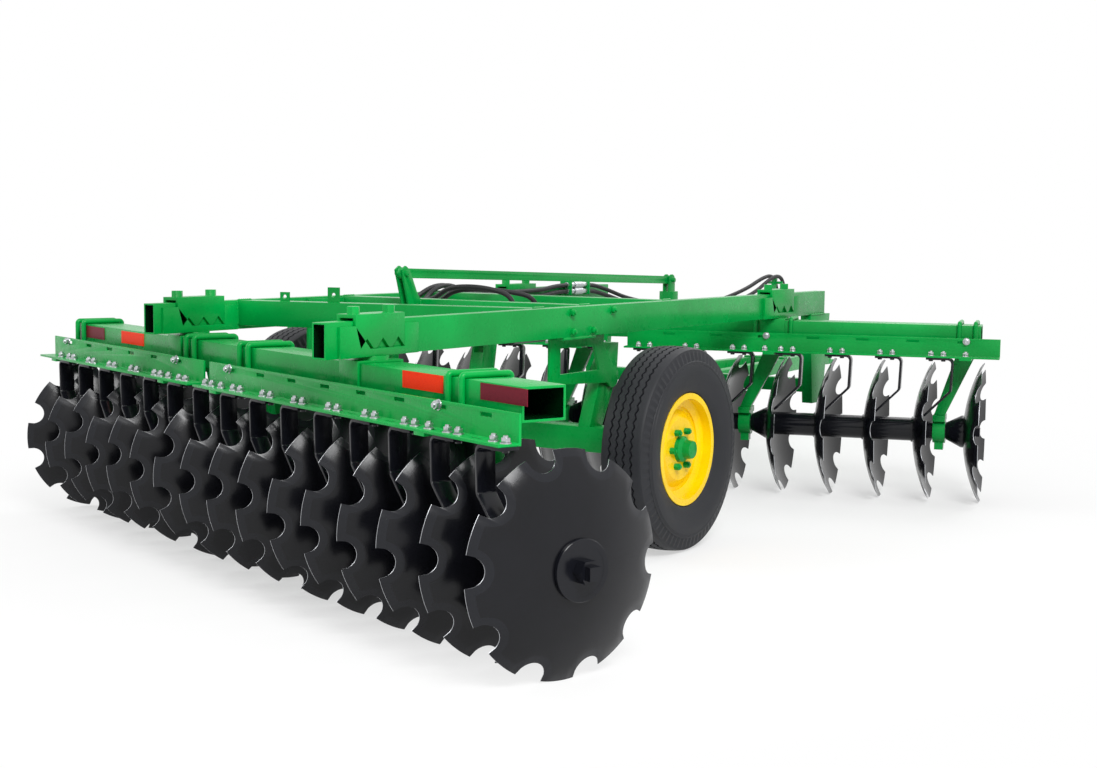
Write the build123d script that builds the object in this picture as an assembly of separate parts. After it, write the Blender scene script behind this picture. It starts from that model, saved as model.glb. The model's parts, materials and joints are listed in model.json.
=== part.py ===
from build123d import *
import math
import os
from collections import namedtuple

# Offset disc harrow in millimetres.
# +Y is the direction of travel, +X the machine's right and +Z up.
# The origin is on the ground, on the frame's centre line, midway between the two gangs.

# Discs
disc_radius = 325.0
sphere_radius = 700.0
disc_thickness = 6.0
flat_radius = 75.0
disc_edge = 2.0
bevel_width = 22.0
notch_count = 10
notch_radius = 45.0
notch_centre = 320.0
disc_count = 16
disc_pitch = 230.0

# Arbor, spools and bearings
arbor_side = 38.0
arbor_clearance = 0.4
spool_radius = 54.5
spool_bore = 28.0
collar_radius = 60.0
collar_length = 10.0
cone_radius = 75.0
cone_neck = 40.0
cone_rim = 12.0
journal_radius = 35.0
journal_clearance = 0.05
housing_width = 56.0
housing_radius = 62.0
housing_gap = 3.0
end_washer_radius = 72.0
end_washer_thickness = 12.0
arbor_nut_width = 62.0
arbor_nut_height = 34.0
arbor_stub = 22.0

# Gang beams
beam_deep = 150.0
beam_tall = 100.0
beam_wall = 8.0
beam_from = -1660.0
beam_to = 1710.0
beam_behind = 95.0

# Hangers between beam and bearing
hanger_plate_margin = 29.0
hanger_plate_thickness = 20.0
hanger_plate_overhang = 32.0
hanger_top_width = 90.0
hanger_low_width = 50.0
hanger_thickness = 44.0
hanger_foot = 14.0
u_bolt_radius = 10.0
u_bolt_clearance = 1.0
nut_width = 30.0
nut_height = 16.0

# Scraper bars and scrapers
bar_leg_from = -161.0
bar_thickness = 8.0
bar_lip = 75.0
bar_tall = 88.0
slot_length = 58.0
slot_width = 12.0
bolt_line = -193.0
foot_bolt_spread = 56.0
scraper_width = 62.0
scraper_thickness = 10.0
scraper_offset = 29.0
scraper_foot_back = 48.0
scraper_foot_front = 76.0
scraper_bend_radius = 22.0
scraper_knee_height = 530.0
scraper_tip_depth = 20.0
scraper_tip_height = 415.0
bracket_width = 54.0
bracket_thickness = 10.0

# Frame rails and cross tubes
rail_centre = 637.5
rail_wide = 55.0
rail_tall = 115.0
rail_top = 952.0
rail_wall = 6.0
rail_front = 2016.0
rail_rear_right = -1845.0
rail_rear_left = -1335.0
cross_wide = 80.0
cross_tall = 100.0
cross_wall = 6.0
middle_tube_rear = -250.0
forward_tube_rear = 400.0
diagonal_left = -847.0
diagonal_right = -562.0

# Beam clamps
saddle_length = 400.0
saddle_tall = 100.0
clamp_plate = 12.0
cap_length = 250.0
cap_clearance = 1.0
cap_gap = 9.0
tooth_level = 862.0
tooth_rise = 32.0
tooth_pitch = 80.0
index_bar_side = 18.0
cap_bolt_width = 38.0
cap_bolt_height = 24.0
strap_width = 120.0
strap_thickness = 10.0
strap_lift = 8.0
turntable_radius = 58.0
base_plate_thickness = 8.0

# Lift axle and its hangers
pivot_height = 655.0
pivot_radius = 20.0
pivot_clearance = 0.05
hanger_wall = 12.0
eye_radius = 44.0
arm_wide = 55.0
arm_deep = 100.0
arm_side_gap = 5.5
axle_side = 100.0
axle_wall = 8.0
axle_y = -100.0
axle_z = 410.0
axle_half = 800.0
crank_radius = 144.0
crank_angle = 12.5
crank_wide = 70.0
fork_gap = 46.0
fork_depth = 68.0

# Wheels
wheel_centre_x = 935.0
wheel_z = 400.0
wheel_y = -100.0
tyre_radius = 400.0
tyre_width = 205.0
rim_seat_radius = 203.2
rim_flange_radius = 220.0
rim_width = 152.0
rim_thickness = 6.0
rim_well_radius = 172.0
rim_disc_offset = 22.0
hub_radius = 62.0
hub_flange_radius = 100.0
hub_flange_thickness = 14.0
wheel_stud_circle = 76.0
wheel_stud_count = 6
stud_radius = 7.0
wheel_disc_thickness = 6.0
spindle_radius = 30.0
spindle_clearance = 0.05
spindle_flange = 45.0

# Hydraulic cylinder
base_pin_y = 450.0
cylinder_radius = 48.0
cylinder_bore = 36.0
cylinder_length = 300.0
rod_radius = 18.0
rod_reach = 285.0
rod_eye_radius = 30.0
rod_eye_width = 40.0
cylinder_pin_radius = 12.5
piston_length = 24.0

# Tongue, mast and leveling link
leg_top_y = (1845.0, 2085.0)
leg_low_y = (1889.0, 2016.0)
leg_low_z = 390.0
lower_beam_y = (1925.0, 1985.0)
lower_beam_z = (440.0, 506.0)
tongue_x = -190.0
tongue_half_rear = 225.0
tongue_half_front = 74.0
tongue_front = 3950.0
tongue_wide = 60.0
tongue_top = 500.0
tongue_tall = 80.0
hitch_bore = 16.0
hitch_gap = 50.0
hitch_plate = 25.0
link_x = -200.0
link_thick = 20.0
link_tall = 40.0
link_pin_radius = 12.0
mast_top = 987.0
mast_wide = 80.0
rear_pin_y = -350.0
rear_pin_z = 1061.0
ear_thickness = 10.0
ear_gap = 1.0

# Each gang is one row of the table below. Its own axes are t along the axle towards the side that the
# discs' bowls face, n forward of the axle and z up. bowl is +1 where t runs to the right.
# bars gives the scraper bar sections from and to. hangers gives, for each hanger, the disc it
# follows, how far its top leans towards +t and half the distance between its two U-bolts.
Gang = namedtuple("Gang", "name x y turn bowl beam_low lip_top bars hangers phases")
Hanger = namedtuple("Hanger", "disc lean spread")
REAR = Gang("rear", -21, -1314, -21, -1, 717, 675.5, ((-1740, 210), (260, 1820)),
            (Hanger(2, 119, 36), Hanger(8, 119, 36), Hanger(10, 119, 36), Hanger(15, 119, 36)),
            (15, 16, 25, 28, 26, 25, 13, 13, 15, 32, 18, 12, 17, 33, 9, 35))
FRONT = Gang("front", -89, 1314, 15, 1, 727, 691, ((-1780, -50), (50, 1800)),
             (Hanger(2, 119, 36), Hanger(7, 119, 36), Hanger(11, 141, 84), Hanger(15, 119, 36)),
             (14, 32, 14, 32, 14, 14, 32, 14, 32, 32, 14, 32, 14, 14, 32, 14))
GANGS = (REAR, FRONT)

nodes = {}


def block(x0, x1, y0, y1, z0, z1):
    """A box between two corners."""
    return Pos((x0 + x1) / 2, (y0 + y1) / 2, (z0 + z1) / 2) * Box(abs(x1 - x0), abs(y1 - y0), abs(z1 - z0))


def square_tube(length, wide, tall, wall):
    """A hollow bar along X, centred."""
    return Box(length, wide, tall) - Box(length + 2, wide - 2 * wall, tall - 2 * wall)


def rod_x(radius, x0, x1, y=0.0, z=0.0):
    """A round bar along X."""
    return Pos((x0 + x1) / 2, y, z) * Rot(0, 90, 0) * Cylinder(radius, abs(x1 - x0))


def rod_z(radius, z0, z1, x=0.0, y=0.0):
    """A round bar along Z."""
    return Pos(x, y, (z0 + z1) / 2) * Cylinder(radius, abs(z1 - z0))


def hex_x(width, x0, x1, y=0.0, z=0.0):
    """A hexagon bar along X, width across its flats."""
    outline = RegularPolygon(width / 2, 6, major_radius=False)
    return Pos(min(x0, x1), y, z) * extrude(Plane.YZ * outline, abs(x1 - x0))


def hex_z(width, z0, z1, x=0.0, y=0.0):
    """A hexagon bar along Z, width across its flats."""
    outline = RegularPolygon(width / 2, 6, major_radius=False)
    return Pos(x, y, min(z0, z1)) * extrude(outline, abs(z1 - z0))


def side_plate(points, x0, x1):
    """A plate across X with its outline given as (y, z) points."""
    outline = make_face(Polyline([(y, z) for y, z in points], close=True))
    return Pos(min(x0, x1), 0, 0) * extrude(Plane.YZ * outline, abs(x1 - x0))


def plan_plate(points, z0, z1):
    """A level plate with its outline given as (x, y) points."""
    outline = make_face(Polyline(list(points), close=True))
    return Pos(0, 0, z0) * extrude(outline, z1 - z0)


def front_plate(points, y0, y1):
    """A plate across Y with its outline given as (x, z) points."""
    outline = make_face(Polyline(list(points), close=True))
    return Pos(0, max(y0, y1), 0) * extrude(Plane.XZ * outline, abs(y1 - y0))


def gang_place(gang, piece):
    """Put a piece that was made in the gang's own t, n, z axes where the gang stands."""
    turned = piece if gang.bowl > 0 else mirror(piece, about=Plane.YZ)
    return Location((gang.x, gang.y, 0), (0, 0, gang.turn)) * turned


def keep(name, pieces):
    """Keep one node, its solids side by side in one compound."""
    solids = [s for piece in pieces for s in piece.solids()]
    nodes[name] = Compound(children=solids) if len(solids) > 1 else solids[0]


def disc_depth(radius):
    """How far the inside of the bowl lies behind the rim's plane at a radius."""
    at_rim = math.sqrt(sphere_radius**2 - disc_radius**2)
    return math.sqrt(sphere_radius**2 - radius**2) - at_rim


disc_height = disc_radius
disc_dish = disc_depth(flat_radius)
first_disc = -disc_pitch * (disc_count - 1) / 2
spool_length = disc_pitch - disc_thickness
spool_centre = spool_length / 2 - disc_dish
rail_low = rail_top - rail_tall
rail_in = rail_centre - rail_wide / 2
rail_out = rail_centre + rail_wide / 2


def disc_at(index):
    """Where the rim plane of a disc lies along the gang, counted from 1."""
    return first_disc + disc_pitch * (index - 1)


def plain_disc():
    """A dished disc with its rim in the plane x = 0, its bowl open to +X and its notches cut."""
    back = disc_thickness
    bevel_radius = disc_radius - bevel_width
    middle = (flat_radius + disc_radius) / 2
    outline = Polyline((-disc_dish, 0), (-disc_dish - back, 0), (-disc_dish - back, flat_radius))
    hollow_flat = Line((-disc_dish, 0), (-disc_dish, flat_radius))
    hollow = ThreePointArc((-disc_dish, flat_radius), (-disc_depth(middle), middle), (0, disc_radius))
    edge = Line((0, disc_radius), (-disc_edge, disc_radius))
    bevel = Line((-disc_edge, disc_radius), (-disc_depth(bevel_radius) - back, bevel_radius))
    bulge = ThreePointArc((-disc_depth(bevel_radius) - back, bevel_radius),
                          (-disc_depth(middle) - back, middle), (-disc_dish - back, flat_radius))
    section = make_face([outline, hollow_flat, hollow, edge, bevel, bulge])
    disc = revolve(section, Axis.X)
    cutter = rod_x(notch_radius, -disc_dish - 2 * back, back, y=notch_centre)
    for number in range(notch_count):
        disc -= Rot(360 / notch_count * number, 0, 0) * cutter
    return disc


def arbor_hole(t0, t1):
    """The square hole that the arbor passes through."""
    side = arbor_side + 2 * arbor_clearance
    return block(t0, t1, -side / 2, side / 2, -side / 2, side / 2)


def make_discs(gang, disc):
    """All discs of a gang, each turned to its own notch phase."""
    hole = arbor_hole(-2 * disc_dish, 0)
    discs = []
    for index, phase in enumerate(gang.phases, start=1):
        turned = Rot(phase, 0, 0) * disc - hole
        discs.append(gang_place(gang, Pos(disc_at(index), 0, disc_height) * turned))
    return discs


def plain_spool():
    """The tube that keeps two discs apart, with a collar at each end."""
    half = spool_length / 2
    tube = rod_x(spool_radius, -half, half)
    tube += rod_x(collar_radius, -half, collar_length - half)
    tube += rod_x(collar_radius, half - collar_length, half)
    return tube - rod_x(spool_bore, -half - 1, half + 1)


def bearing_spool():
    """A spool with a journal in its middle, a neck on one side and a cone on the other."""
    half = spool_length / 2
    start = housing_width / 2 + housing_gap
    neck = rod_x(cone_neck, -half, -start) + rod_x(collar_radius, -half, collar_length - half)
    profile = Polyline((start, 0), (start, cone_neck), (half - cone_rim, cone_radius), (half, cone_radius), (half, 0),
                       close=True)
    cone = revolve(make_face(profile), Axis.X)
    journal = rod_x(journal_radius, -start, start)
    return neck + journal + cone - rod_x(spool_bore, -half - 1, half + 1)


def make_spools(gang):
    """Spools between all discs; those at a bearing carry its journal."""
    plain = plain_spool()
    beside_bearing = bearing_spool()
    spools = []
    for index in range(1, disc_count):
        spool = beside_bearing if index in [hanger.disc for hanger in gang.hangers] else plain
        spools.append(gang_place(gang, Pos(disc_at(index) + spool_centre, 0, disc_height) * spool))
    return spools


def make_arbor(gang):
    """The square arbor with a washer, nut and stub at each end."""
    left = disc_at(1) - disc_dish - disc_thickness
    right = disc_at(disc_count) - disc_dish
    half = arbor_side / 2
    end_left = left - end_washer_thickness - arbor_nut_height - arbor_stub
    end_right = right + end_washer_thickness + arbor_nut_height + arbor_stub
    bar = block(end_left, end_right, -half, half, -half, half)
    for face, way in ((left, -1), (right, 1)):
        seat = face + way * end_washer_thickness
        bar += rod_x(end_washer_radius, face, seat)
        bar += hex_x(arbor_nut_width, seat, seat + way * arbor_nut_height)
    return gang_place(gang, Pos(0, 0, disc_height) * bar)


def make_beam(gang):
    """The rectangular tube that carries a gang."""
    tube = square_tube(beam_to - beam_from, beam_deep, beam_tall, beam_wall)
    centre = Pos((beam_from + beam_to) / 2, beam_deep / 2 - beam_behind, gang.beam_low + beam_tall / 2)
    return gang_place(gang, centre * tube)


def bearing_at(hanger):
    """Where a hanger's bearing sits along the gang."""
    return disc_at(hanger.disc) + spool_centre


def u_bolt_rows():
    """Where the two legs of a U-bolt pass the beam's rear and front faces."""
    out = u_bolt_radius + u_bolt_clearance
    return (-beam_behind - out, beam_deep - beam_behind + out)


def make_hanger(gang, hanger):
    """A standard from under the beam down to the bearing, with the bracket for the scraper bar."""
    low = bearing_at(hanger)
    top = low + hanger.lean
    half = hanger.spread + hanger_plate_margin
    rear, front = u_bolt_rows()
    plate_low = gang.beam_low - hanger_plate_thickness
    plate = block(top - half, top + half, rear - hanger_plate_overhang, front + hanger_plate_overhang,
                  plate_low, gang.beam_low)
    for row in (rear, front):
        for side in (-1, 1):
            hole = rod_z(u_bolt_radius + u_bolt_clearance, plate_low - 1, gang.beam_low + 1,
                         top + side * hanger.spread, row)
            plate -= hole
    foot_top = disc_height + housing_radius + hanger_foot
    web = front_plate([(top - hanger_top_width / 2, plate_low), (low - hanger_low_width / 2, foot_top),
                       (low + hanger_low_width / 2, foot_top), (top + hanger_top_width / 2, plate_low)],
                      -hanger_thickness / 2, hanger_thickness / 2)
    foot = block(low - housing_width / 2, low + housing_width / 2, -housing_radius, housing_radius,
                 foot_top - hanger_foot, foot_top)
    lip_low = gang.lip_top - bar_thickness
    lip_edge = bar_leg_from + bar_thickness - bar_lip
    riser = rear - hanger_plate_overhang
    bracket = side_plate([(lip_edge, lip_low - bracket_thickness), (riser + bracket_thickness, lip_low - bracket_thickness),
                          (riser + bracket_thickness, plate_low), (riser, plate_low), (riser, lip_low),
                          (lip_edge, lip_low)], top - bracket_width / 2, top + bracket_width / 2)
    return gang_place(gang, plate + web + foot + bracket)


def make_housing(gang, hanger):
    """The bearing housing around the journal, with a lug above and below."""
    low = bearing_at(hanger)
    half = housing_width / 2
    body = rod_x(housing_radius - 4, low - half, low + half, 0, disc_height)
    body += block(low - half, low + half, -housing_radius, housing_radius,
                  disc_height + housing_radius - 14, disc_height + housing_radius)
    body += block(low - half + 8, low + half - 8, -24, 24,
                  disc_height - housing_radius - 26, disc_height - housing_radius + 10)
    body -= rod_x(journal_radius + journal_clearance, low - half - 1, low + half + 1, 0, disc_height)
    return gang_place(gang, body)


def make_u_bolts(gang, hanger):
    """Two U-bolts over the beam with their nuts under the hanger's plate."""
    top = bearing_at(hanger) + hanger.lean
    rear, front = u_bolt_rows()
    over = gang.beam_low + beam_tall + u_bolt_radius
    plate_low = gang.beam_low - hanger_plate_thickness
    bolts = []
    for side in (-1, 1):
        t = top + side * hanger.spread
        route = FilletPolyline((t, rear, plate_low - nut_height - 8), (t, rear, over), (t, front, over),
                               (t, front, plate_low - nut_height - 8), radius=u_bolt_radius + u_bolt_clearance)
        bolt = sweep(Plane(route @ 0, z_dir=route % 0) * Circle(u_bolt_radius), path=route)
        for row in (rear, front):
            bolt += hex_z(nut_width, plate_low - nut_height, plate_low, t, row)
        bolts.append(gang_place(gang, bolt))
    return bolts


def bar_pairs(gang, start, end):
    """The scrapers' places on one section of the scraper bar."""
    pairs = [disc_at(index) + scraper_offset for index in range(1, disc_count)]
    return [t for t in pairs if start < t < end]


def make_bar(gang, start, end):
    """One section of the slotted angle that carries the scrapers."""
    lip_low = gang.lip_top - bar_thickness
    leg_to = bar_leg_from + bar_thickness
    lip_from = leg_to - bar_lip
    bar = block(start, end, lip_from, leg_to, lip_low, gang.lip_top)
    bar += block(start, end, bar_leg_from, leg_to, lip_low, lip_low + bar_tall)
    slot_high = lip_low + bar_tall * 0.8
    for index in range(1, disc_count):
        t = disc_at(index) + scraper_offset + disc_pitch / 2
        if start + slot_length < t < end - slot_length:
            bar -= block(t - slot_length / 2, t + slot_length / 2, bar_leg_from - 1, leg_to + 1,
                         slot_high - slot_width / 2, slot_high + slot_width / 2)
            bar -= block(t - slot_length / 2, t + slot_length / 2, bolt_line - slot_width / 2,
                         bolt_line + slot_width / 2, lip_low - 1, gang.lip_top + 1)
    return gang_place(gang, bar)


def make_scraper(gang, index):
    """A scraper from under the bar's lip, bent down and into the bowl of its disc."""
    lip_low = gang.lip_top - bar_thickness
    seat = disc_at(index) + scraper_offset
    rim = disc_at(index)
    mid = lip_low - scraper_thickness / 2
    bend = seat + scraper_foot_front - scraper_thickness / 2
    path = FilletPolyline((seat - scraper_foot_back, 0, mid), (bend, 0, mid), (bend - 6, 0, scraper_knee_height),
                          (rim - scraper_tip_depth, 0, scraper_tip_height), radius=scraper_bend_radius)
    section = Plane(path @ 0, x_dir=(0, 1, 0), z_dir=path % 0) * Rectangle(scraper_width, scraper_thickness)
    arm = Pos(0, bolt_line, 0) * sweep(section, path=path)
    for side in (-1, 1):
        t = seat + side * foot_bolt_spread / 2
        arm += hex_z(18, lip_low - scraper_thickness - 8, lip_low - scraper_thickness, t, bolt_line)
    return gang_place(gang, arm)


def make_rail(side, rear):
    """One rail of the frame, open at both ends."""
    tube = Rot(0, 0, 90) * square_tube(rail_front - rear, rail_wide, rail_tall, rail_wall)
    return Pos(side * rail_centre, (rail_front + rear) / 2, rail_top - rail_tall / 2) * tube


def make_cross_tube(rear, reach):
    """A cross tube between the rails."""
    tube = square_tube(2 * reach, cross_wide, cross_tall, cross_wall)
    return Pos(0, rear + cross_wide / 2, rail_top - cross_tall / 2) * tube


def make_diagonal():
    """The slanting rear cross tube, trimmed to the rails' inner faces."""
    span = 2 * rail_in
    turn = math.degrees(math.atan2(diagonal_right - diagonal_left, span))
    tube = Rot(0, 0, turn) * square_tube(2 * span, cross_wide, cross_tall, cross_wall)
    tube = Pos(0, (diagonal_left + diagonal_right) / 2, rail_top - cross_tall / 2) * tube
    return tube & block(-rail_in, rail_in, -2 * span, 2 * span, 0, rail_top)


def beam_y_at_rail(gang, side):
    """Where the middle line of a gang's beam crosses a rail."""
    middle = beam_deep / 2 - beam_behind
    slope = math.tan(math.radians(gang.turn))
    shift = middle / math.cos(math.radians(gang.turn))
    return gang.y + (side * rail_centre - gang.x) * slope + shift


def saddle_outline(y):
    """The saddle's side view: raised at both ends, with a pocket for the cap between."""
    low = rail_low
    high = low + saddle_tall
    half = saddle_length / 2
    pocket = cap_length / 2 + cap_clearance
    ramp = high - tooth_level
    return [(y - half, low), (y - half, high), (y - pocket, high), (y - pocket + ramp, tooth_level),
            (y + pocket, tooth_level), (y + pocket, high), (y + half, high), (y + half, low)]


def cap_outline(y):
    """The cap's side view, with teeth along its lower edge."""
    half = cap_length / 2
    low = tooth_level + cap_clearance
    ramp = rail_low + saddle_tall - tooth_level
    points = [(y - half, low + ramp), (y - half, rail_top + cap_gap), (y + half, rail_top + cap_gap), (y + half, low)]
    for number in (1, 0, -1):
        tip = y + number * tooth_pitch + 12
        points += [(tip + tooth_rise, low), (tip, low + tooth_rise), (tip - tooth_rise, low)]
    return points


def make_clamp(gang, side):
    """A toothed clamp that holds a gang beam under a rail: saddle, cap, index bar and strap."""
    y = beam_y_at_rail(gang, side)
    inner, outer = side * rail_in, side * rail_out
    pieces = []
    saddle = side_plate(saddle_outline(y), outer, outer + side * clamp_plate)
    saddle += side_plate(saddle_outline(y), inner, inner - side * clamp_plate)
    pieces.append(saddle)
    cap = side_plate(cap_outline(y), outer, outer + side * clamp_plate)
    cap += side_plate(cap_outline(y), inner, inner - side * clamp_plate)
    plate_low = rail_top + cap_gap
    cap += block(inner - side * clamp_plate, outer + side * clamp_plate, y - cap_length / 2, y + cap_length / 2,
                 plate_low, plate_low + clamp_plate)
    for end in (-1, 1):
        cap += hex_z(cap_bolt_width, plate_low + clamp_plate, plate_low + clamp_plate + cap_bolt_height,
                     side * rail_centre, y + end * cap_length * 0.36)
    pieces.append(cap)
    return pieces


def make_strap(gang, side):
    """The strap around the beam under a rail, with the turntable between beam and rail."""
    y = beam_y_at_rail(gang, side)
    middle = beam_deep / 2 - beam_behind
    top = gang.beam_low + beam_tall
    half = strap_width / 2
    reach = beam_deep / 2 + strap_thickness
    strap = block(-half, half, middle - reach, middle + reach, top, top + base_plate_thickness)
    for way in (-1, 1):
        face = middle + way * beam_deep / 2
        strap += block(-half, half, face, face + way * strap_thickness,
                       gang.beam_low + strap_lift, top + base_plate_thickness)
    strap = Location((side * rail_centre, y, 0), (0, 0, gang.turn)) * (Pos(0, -middle, 0) * strap)
    strap += rod_z(turntable_radius, top + base_plate_thickness, rail_low, side * rail_centre, y)
    return strap


def make_axle_hanger(side):
    """The plate on a rail's inner face that carries the lift axle's pivot."""
    outline = [(-475, pivot_height), (-475, rail_top - 7), (-75, rail_top - 7), (-75, 790), (10, pivot_height + 38),
               (10, pivot_height - 25)]
    inner = side * rail_in
    plate = side_plate(outline, inner, inner - side * hanger_wall)
    plate += rod_x(eye_radius, inner, inner - side * hanger_wall, 0, pivot_height)
    plate -= side_plate([(-400, 690), (-400, 790), (-150, 790), (-110, 690)], inner + side, inner - side * 13)
    pin_end = inner - side * (hanger_wall + arm_side_gap + arm_wide)
    plate += rod_x(pivot_radius, inner, pin_end - side * 10, 0, pivot_height)
    return plate


def make_axle():
    """The lift axle's cross tube with its spindles."""
    tube = square_tube(2 * axle_half, axle_side, axle_side, axle_wall)
    axle = Pos(0, axle_y, axle_z) * tube
    return axle


def make_spindle(side):
    """A stub on the axle's end that the wheel turns on."""
    end = side * axle_half
    flange = side * (axle_half + 12)
    spindle = block(end, flange, axle_y - axle_side / 2, axle_y + axle_side / 2,
                    axle_z - axle_side / 2, axle_z + axle_side / 2)
    spindle += rod_x(spindle_radius, flange, side * (wheel_centre_x + 40), wheel_y, wheel_z)
    return spindle


def make_arm(x0, x1):
    """A lift arm from the axle's tube up past the pivot."""
    top = axle_z + axle_side / 2
    half = arm_deep / 2
    arm = side_plate([(axle_y - half, top), (-half, 700), (10, 790), (70, 790), (half + 10, pivot_height),
                      (axle_y + half, top)], x0, x1)
    return arm - rod_x(pivot_radius + pivot_clearance, x0 - 1, x1 + 1, 0, pivot_height)


def crank_eye():
    """Where the cylinder's rod meets the crank."""
    angle = math.radians(crank_angle)
    return (-crank_radius * math.sin(angle), pivot_height + crank_radius * math.cos(angle))


def make_crank():
    """The middle crank: a web from the axle's tube to a fork for the cylinder's rod."""
    top = axle_z + axle_side / 2
    half = arm_deep / 2
    eye_y, eye_z = crank_eye()
    outline = [(axle_y - half, top), (eye_y - 40, eye_z - 10), (eye_y - 25, eye_z + 28), (eye_y + 25, eye_z + 28),
               (eye_y + 40, eye_z - 10), (axle_y + half, top)]
    crank = side_plate(outline, -crank_wide / 2, crank_wide / 2)
    crank -= block(-fork_gap / 2, fork_gap / 2, eye_y - 200, eye_y + 200, eye_z - fork_depth, eye_z + 100)
    for side in (-1, 1):
        crank += rod_x(cylinder_pin_radius, side * fork_gap / 2, side * (crank_wide / 2 + 12), eye_y, eye_z)
    return crank


def make_barrel():
    """The cylinder's barrel, from its base eye to the gland."""
    front = base_pin_y
    base_pin_z = crank_eye()[1]
    gland = front - cylinder_length
    barrel = Rot(90, 0, 0) * Cylinder(cylinder_radius, cylinder_length - 50)
    barrel = Pos(0, gland + (cylinder_length - 50) / 2, base_pin_z) * barrel
    barrel += block(-20, 20, front - 55, front, base_pin_z - 28, base_pin_z + 28)
    barrel += rod_x(28, -20, 20, front, base_pin_z)
    cavity = Rot(90, 0, 0) * Cylinder(cylinder_bore, cylinder_length - 90)
    barrel -= Pos(0, gland + 20 + (cylinder_length - 90) / 2, base_pin_z) * cavity
    mouth = Rot(90, 0, 0) * Cylinder(rod_radius + 0.05, 60)
    barrel -= Pos(0, gland, base_pin_z) * mouth
    barrel -= rod_x(cylinder_pin_radius + 0.05, -30, 30, front, base_pin_z)
    return barrel


def make_rod():
    """The cylinder's rod with its eye and piston."""
    eye_y, eye_z = crank_eye()
    rod = Rot(90, 0, 0) * Cylinder(rod_radius, rod_reach)
    rod = Pos(0, eye_y + rod_reach / 2, eye_z) * rod
    piston = Rot(90, 0, 0) * Cylinder(cylinder_bore - 0.05, piston_length)
    rod += Pos(0, eye_y + rod_reach - piston_length / 2, eye_z) * piston
    rod += rod_x(rod_eye_radius, -rod_eye_width / 2, rod_eye_width / 2, eye_y, eye_z)
    return rod


def make_cylinder_lugs():
    """The two lugs under the forward tube and the pin that the barrel swings on."""
    tube_low = rail_top - cross_tall
    base_pin_z = crank_eye()[1]
    lugs = None
    outline = [(base_pin_y - 38, tube_low), (base_pin_y - 30, base_pin_z - 30), (base_pin_y + 30, base_pin_z - 30),
               (base_pin_y + 28, tube_low)]
    for side in (-1, 1):
        lug = side_plate(outline, side * 23, side * 35)
        lugs = lug if lugs is None else lugs + lug
    return lugs + rod_x(cylinder_pin_radius, -45, 45, base_pin_y, base_pin_z)


def make_tyre(side):
    """A tyre with a rounded tread and bulging sides."""
    half = tyre_width / 2
    seat = rim_width / 2 - rim_thickness
    r = tyre_radius
    lower = Polyline((-seat, rim_seat_radius), (seat, rim_seat_radius), (seat, rim_flange_radius + 4))
    wall_right = Spline((seat, rim_flange_radius + 4), (half, 305), (half - 14, 368))
    shoulder = ThreePointArc((half - 14, 368), (half - 18, r - 14), (half - 34, r - 6))
    crown = ThreePointArc((half - 34, r - 6), (0, r), (34 - half, r - 6))
    shoulder_left = ThreePointArc((34 - half, r - 6), (18 - half, r - 14), (14 - half, 368))
    wall_left = Spline((14 - half, 368), (-half, 305), (-seat, rim_flange_radius + 4))
    close = Line((-seat, rim_flange_radius + 4), (-seat, rim_seat_radius))
    section = make_face([lower, wall_right, shoulder, crown, shoulder_left, wall_left, close])
    return Pos(side * wheel_centre_x, wheel_y, wheel_z) * revolve(section, Axis.X)


def make_rim(side):
    """A pressed rim with its wheel disc."""
    half = rim_width / 2
    seat = rim_seat_radius - 0.3
    well = rim_well_radius
    t = rim_thickness
    o = rim_disc_offset
    outline = [(-half, rim_flange_radius), (-half, seat - t), (-40, seat - t), (-28, well - t),
               (o - 6, well - t), (o - 6, 150), (o + 14, 120), (o + 14, 52), (o + 20, 52), (o + 20, 122),
               (o, 153), (o, well - t), (28, well - t), (40, seat - t), (half, seat - t),
               (half, rim_flange_radius), (half - t, rim_flange_radius), (half - t, seat), (37, seat),
               (25, well), (-25, well), (-37, seat), (t - half, seat), (t - half, rim_flange_radius)]
    rim = revolve(make_face(Polyline(outline, close=True)), Axis.X)
    for number in range(wheel_stud_count):
        hole = rod_x(stud_radius + 0.5, -half, half, wheel_stud_circle, 0)
        rim -= Rot(360 / wheel_stud_count * number, 0, 0) * hole
    turned = rim if side > 0 else mirror(rim, about=Plane.YZ)
    return Pos(side * wheel_centre_x, wheel_y, wheel_z) * turned


def make_hub(side):
    """The hub with its flange, wheel nuts and cap."""
    back = rim_disc_offset + 14
    outline = [(-70, spindle_radius + spindle_clearance), (45, spindle_radius + spindle_clearance), (45, 0),
               (back + 66, 0), (back + 62, 34), (back + 34, 38), (back + 22, 50), (back, 51.5), (back, hub_flange_radius),
               (back - hub_flange_thickness, hub_flange_radius), (back - hub_flange_thickness, hub_radius), (-70, hub_radius - 8)]
    hub = revolve(make_face(Polyline(outline, close=True)), Axis.X)
    for number in range(wheel_stud_count):
        stud = rod_x(stud_radius, back, back + wheel_disc_thickness + 26, wheel_stud_circle, 0)
        stud += hex_x(24, back + wheel_disc_thickness, back + wheel_disc_thickness + 20, wheel_stud_circle, 0)
        hub += Rot(360 / wheel_stud_count * number, 0, 0) * stud
    turned = hub if side > 0 else mirror(hub, about=Plane.YZ)
    return Pos(side * wheel_centre_x, wheel_y, wheel_z) * turned


def make_drop_leg(side):
    """The tapered leg under a rail's front end."""
    outline = [(leg_top_y[0], rail_low), (leg_top_y[1], rail_low), (leg_low_y[1], leg_low_z), (leg_low_y[0], leg_low_z)]
    return side_plate(outline, side * rail_in, side * rail_out)


def make_lower_beam():
    """The cross beam between the drop legs."""
    return block(-rail_in, rail_in, *lower_beam_y, *lower_beam_z)


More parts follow.
